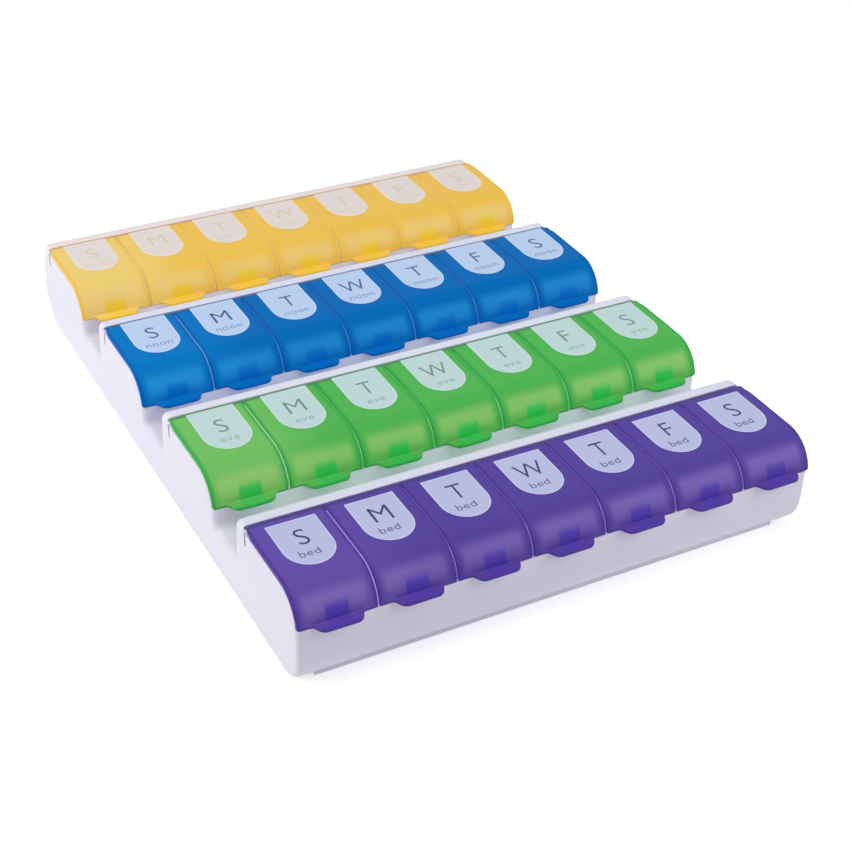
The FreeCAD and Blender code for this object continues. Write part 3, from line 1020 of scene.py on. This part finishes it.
# %% Label materials
FILM, FILM_BORDER, LETTER, WORD = range(4)   # places of a label's materials
LABEL_PARTS = ("film", "border", "letter", "word")
LABEL_COLOURS = {               # in the same order
    "bed": ((198, 204, 238), (224, 228, 252), (60, 62, 118), (98, 100, 156)),
    "eve": ((204, 231, 228), (224, 248, 240), (118, 156, 138), (160, 188, 178)),
    "noon": ((200, 224, 254), (220, 240, 255), (62, 100, 154), (130, 154, 200)),
    "morn": ((246, 235, 228), (255, 244, 230), (238, 216, 176), (240, 224, 198)),
}
MOTTLE = 5                   # parts of 255 by which the ink's darker places differ
PRINT_ROUGHNESS = 0.42


def printed(name, light, shade):
    """Printed film or ink with a fine mottle."""
    finish = Finish(name, IOR=1.45, Specular_IOR_Level=0.3)
    mottle = finish.noise(900, detail=4, roughness=0.7)
    sheen = finish.noise(120, detail=2)
    return finish.set(
        Base_Color=finish.blend(mottle, light, shade),
        Roughness=PRINT_ROUGHNESS + sheen * 0.08,
        Normal=finish.bump(mottle, distance=0.000003, strength=0.4),
    )


def label_finishes(row):
    """Materials of a row's labels."""
    made = []
    for part, colour in zip(LABEL_PARTS, LABEL_COLOURS[row]):
        darker = tuple(channel - MOTTLE for channel in colour)
        made.append(printed("label_%s_%s" % (part, row), srgb(*colour), srgb(*darker)))
    return made


# %% [markdown]
# The outline is half a rectangle and half an ellipse. A label rides on its lid, so it lifts with
# it. Places along a label are counted from the row's front wall, and those across it from the
# lid's middle.

# %% Labels of all lids
LABEL_SHIFT = {"bed": 0.9, "eve": 1.5, "noon": 1.3, "morn": 0.9}      # to the right
LABEL_SLIDE = {"bed": 0.0, "eve": 0.8, "noon": 1.2, "morn": 1.5}      # of front end and letters
LABEL_BACK = {"bed": 38.7, "eve": 41.2, "noon": 41.4, "morn": 41.4}
LABEL_STRAIGHT = 24.4
LABEL_FRONT = 14.9
LABEL_HALF = 8.8
LABEL_STEPS = 32             # of the round end
BORDER = 0.34
LETTER_HEIGHT = 7.9
LETTER_BASE = 25.5
LETTER_WIDTH = {"S": 0.94, "M": 0.94, "T": 0.82, "W": 0.86, "F": 0.86}
LETTER_THINNING = 0.009      # of the font's size
WORD_HEIGHT = 3.1
WORD_BASE = 19.6
WORD_WIDTH = 1.1
WORD_SHIFT = {"bed": 0.9, "eve": 0.1, "noon": 0.1, "morn": 0.1}       # to the left
WORD_THINNING = 0.002


def film_shape(back, slide):
    """Closed film with an inset border."""
    shape = bmesh.new()
    spots = [(-LABEL_HALF, back)]
    for step in range(LABEL_STEPS + 1):
        turn = math.pi * (1 + step / LABEL_STEPS)
        round_end = (LABEL_STRAIGHT - LABEL_FRONT) * math.sin(turn)
        spots.append((LABEL_HALF * math.cos(turn), slide + LABEL_STRAIGHT + round_end))
    spots.append((LABEL_HALF, back))
    base = shape.faces.new([shape.verts.new((x, y, -FILM_SINK)) for x, y in spots])
    grown = bmesh.ops.extrude_face_region(shape, geom=[base] + base.edges[:])["geom"]
    for item in grown:
        if isinstance(item, bmesh.types.BMVert):
            item.co.z = FILM_TOP
    top = [item for item in grown if isinstance(item, bmesh.types.BMFace)]
    bmesh.ops.recalc_face_normals(shape, faces=shape.faces)
    for face in shape.faces:
        face.material_index = FILM_BORDER
    bmesh.ops.inset_region(shape, faces=top, thickness=BORDER, use_even_offset=True)
    for face in top:
        face.material_index = FILM
    return shape


def join(shape, other, shift):
    """Adds another bmesh to a shape, moved by a vector, and frees it."""
    bmesh.ops.translate(other, verts=other.verts, vec=shift)
    carrier = bpy.data.meshes.new("carrier")
    other.to_mesh(carrier)
    other.free()
    shape.from_mesh(carrier)
    bpy.data.meshes.remove(carrier)


def place_label(row, day, finishes):
    """Label of a lid. Returns its open edges."""
    lid = "lid_%s_%s" % (row, day)
    slide = LABEL_SLIDE[row]
    initial = day[0].upper()
    shape = film_shape(LABEL_BACK[row], slide)
    letter = text_shape(initial, LETTER_HEIGHT, LETTER_THINNING, LETTER_WIDTH[initial], LETTER)
    word = text_shape(row, WORD_HEIGHT, WORD_THINNING, WORD_WIDTH, WORD)
    join(shape, letter, (0, LETTER_BASE + slide, FILM_TOP))
    join(shape, word, (-WORD_SHIFT[row], WORD_BASE + slide, FILM_TOP))
    hinge = hinges[lid]
    shift = (hinge.x + LABEL_SHIFT[row], hinge.y - hinge_setback, lid_top)
    bmesh.ops.translate(shape, verts=shape.verts, vec=shift)
    holes = open_edges(shape)
    make_piece("label_%s_%s" % (row, day), shape, finishes, lid)
    return holes


label_holes = 0
for row in ROWS:
    finishes = label_finishes(row)
    for day in DAYS:
        label_holes += place_label(row, day, finishes)
print("labels:", len(ROWS) * len(DAYS), "open edges", label_holes)

# %% [markdown]
# ## Light, floor and background
# The light is that of a small product table. A large soft panel stands low on the left and makes
# the side wall the brightest face. Another hangs overhead. The third, in front and to the right,
# draws the band of light along the lids' noses, where the lids also carry a painted highlight. An
# even lavender world fills the shadows. The floor is pale and keeps the shadow. The camera sees it
# and the world as white, and so does whatever mirrors them. For all other rays the floor glows
# faintly, a painted fill light that falls on the organizer from below.

# %% Rays that show the background
def shown_rays(nodes, links):
    """Socket that is 1 for rays of the camera, off a mirror and through glass, and 0 otherwise."""
    path = nodes.new("ShaderNodeLightPath")
    socket = path.outputs["Is Camera Ray"]
    for name in ("Is Glossy Ray", "Is Transmission Ray"):
        either = nodes.new("ShaderNodeMath")
        either.operation = "MAXIMUM"
        links.new(socket, either.inputs[0])
        links.new(path.outputs[name], either.inputs[1])
        socket = either.outputs[0]
    return socket


# %% Floor
FLOOR_RADIUS = 3.0           # metres
FLOOR_COLOUR = (0.84, 0.84, 0.85, 1.0)
# Painted fill light: the floor's faint glow for all other rays, which lights the organizer
FLOOR_PAINTED_FILL = (0.08, 0.08, 0.08, 1.0)
FLOOR_SHOWN = (0.48, 0.48, 0.48, 1.0)        # its glow for the rays that show the background


def make_floor():
    """Pale round floor that glows faintly as a painted fill light."""
    shape = bmesh.new()
    bmesh.ops.create_circle(shape, cap_ends=True, segments=64, radius=FLOOR_RADIUS)
    mesh = bpy.data.meshes.new("floor")
    shape.to_mesh(mesh)
    shape.free()
    floor = bpy.data.objects.new("floor", mesh)
    bpy.context.scene.collection.objects.link(floor)
    finish = Finish("floor_paper", Roughness=0.9, Emission_Strength=1.0)
    shown = Wire(finish, shown_rays(finish.nodes, finish.links))
    finish.set(
        Base_Color=FLOOR_COLOUR,
        Emission_Color=finish.blend(shown, FLOOR_PAINTED_FILL, FLOOR_SHOWN),
    )
    mesh.materials.append(finish.material)


make_floor()

# %% World
WORLD_COLOUR = (0.82, 0.83, 1.0, 1.0)
WORLD_STRENGTH = 0.19
WHITE = (1.0, 1.0, 1.0, 1.0)


def make_world():
    """Even soft light, pure white to the camera, in mirrors and through glass."""
    world = bpy.data.worlds.new("studio")
    world.use_nodes = True
    bpy.context.scene.world = world
    nodes, links = world.node_tree.nodes, world.node_tree.links
    dim = nodes["Background"]
    dim.inputs["Color"].default_value = WORLD_COLOUR
    dim.inputs["Strength"].default_value = WORLD_STRENGTH
    bright = nodes.new("ShaderNodeBackground")
    bright.inputs["Color"].default_value = WHITE
    either = nodes.new("ShaderNodeMixShader")
    links.new(shown_rays(nodes, links), either.inputs[0])
    links.new(dim.outputs[0], either.inputs[1])
    links.new(bright.outputs[0], either.inputs[2])
    links.new(either.outputs[0], nodes["World Output"].inputs["Surface"])


make_world()

# %% Panels
PANELS = {                      # direction, metres away, width and height, watts
    "left": ((-0.90, 0.28, 0.36), 0.9, (0.9, 0.6), 4.0),
    "overhead": ((-0.15, 0.05, 1.0), 1.1, (1.0, 1.0), 5.2),
    "front": ((0.62, -0.62, 0.58), 0.9, (0.7, 0.7), 3.2),
}


def make_panel(name, direction, distance, size, power):
    """Light panel that faces the organizer from a direction."""
    data = bpy.data.lights.new(name, "AREA")
    data.shape = "RECTANGLE"
    data.size, data.size_y = size
    data.energy = power
    panel = bpy.data.objects.new(name, data)
    aim = Vector(direction).normalized()
    panel.location = (cad_box[0] + cad_box[1]) / 2 + aim * distance
    panel.rotation_euler = aim.to_track_quat("Z", "Y").to_euler()
    bpy.context.scene.collection.objects.link(panel)


for name, plan in PANELS.items():
    make_panel(name, *plan)
bpy.context.scene.view_settings.view_transform = "Standard"
print("lights:", len(bpy.data.lights))
